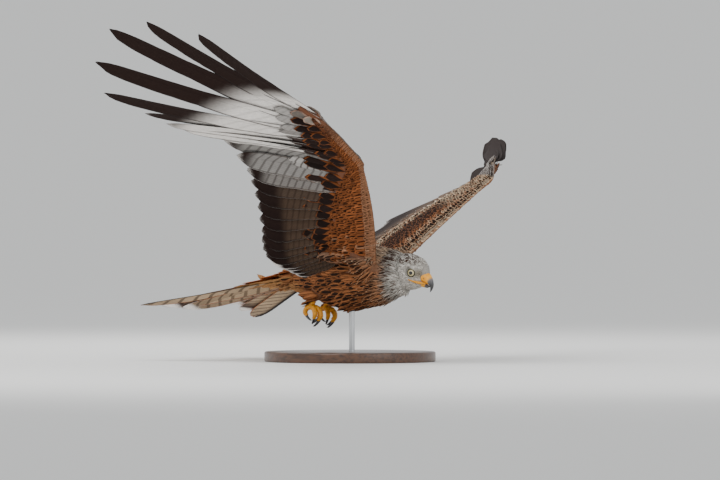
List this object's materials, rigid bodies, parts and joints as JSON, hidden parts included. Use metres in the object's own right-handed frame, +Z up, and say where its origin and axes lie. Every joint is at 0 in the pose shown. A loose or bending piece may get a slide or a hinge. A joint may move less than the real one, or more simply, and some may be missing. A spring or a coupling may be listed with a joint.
{
  "type": "red kite bird",
  "caption": "Red kite in flight with wings raised, forked tail fanned and toes curled, held up on a round wooden base by one short steel rod.",
  "frame": {"origin": "centre of the stand's flat underside", "axes": "+Z up, +X the way the bird flies, +Y to the bird's left"},
  "size_m": [0.6021, 1.2492, 0.6004],
  "materials": {
    "plumage_body": "matte feathers, rufous with dark streaks",
    "plumage_head": "matte feathers, pale grey with dark shaft streaks",
    "plumage_wing": "satin vanes, dark brown, rufous and white",
    "plumage_tail": "satin vanes, rufous with thin dark bars",
    "bare_yellow": "scaly skin, satin",
    "horn": "polished horn",
    "eye": "wet gloss, cream iris and black pupil",
    "stand_wood": "dark satin varnish",
    "stand_steel": "brushed"
  },
  "bodies": {
    "root": {"torso": "plumage_body", "neck": "plumage_body", "thigh_right": "plumage_body", "thigh_left": "plumage_body", "head": "plumage_head", "cere": "bare_yellow", "bill_upper": "horn", "bill_lower": "horn", "eye_right": "eye", "eye_left": "eye", "wing_right_arm": "plumage_wing", "wing_right_hand": "plumage_wing", "wing_left_arm": "plumage_wing", "wing_left_hand": "plumage_wing", "tail": "plumage_tail", "shank_right": "bare_yellow", "shank_left": "bare_yellow", "foot_right": "bare_yellow", "foot_left": "bare_yellow", "stand_base": "stand_wood", "stand_rod": "stand_steel", "claw_right_1": "horn", "claw_right_2": "horn", "claw_right_3": "horn", "claw_right_4": "horn", "claw_left_1": "horn", "claw_left_2": "horn", "claw_left_3": "horn", "claw_left_4": "horn"}
  },
  "joints": []
}
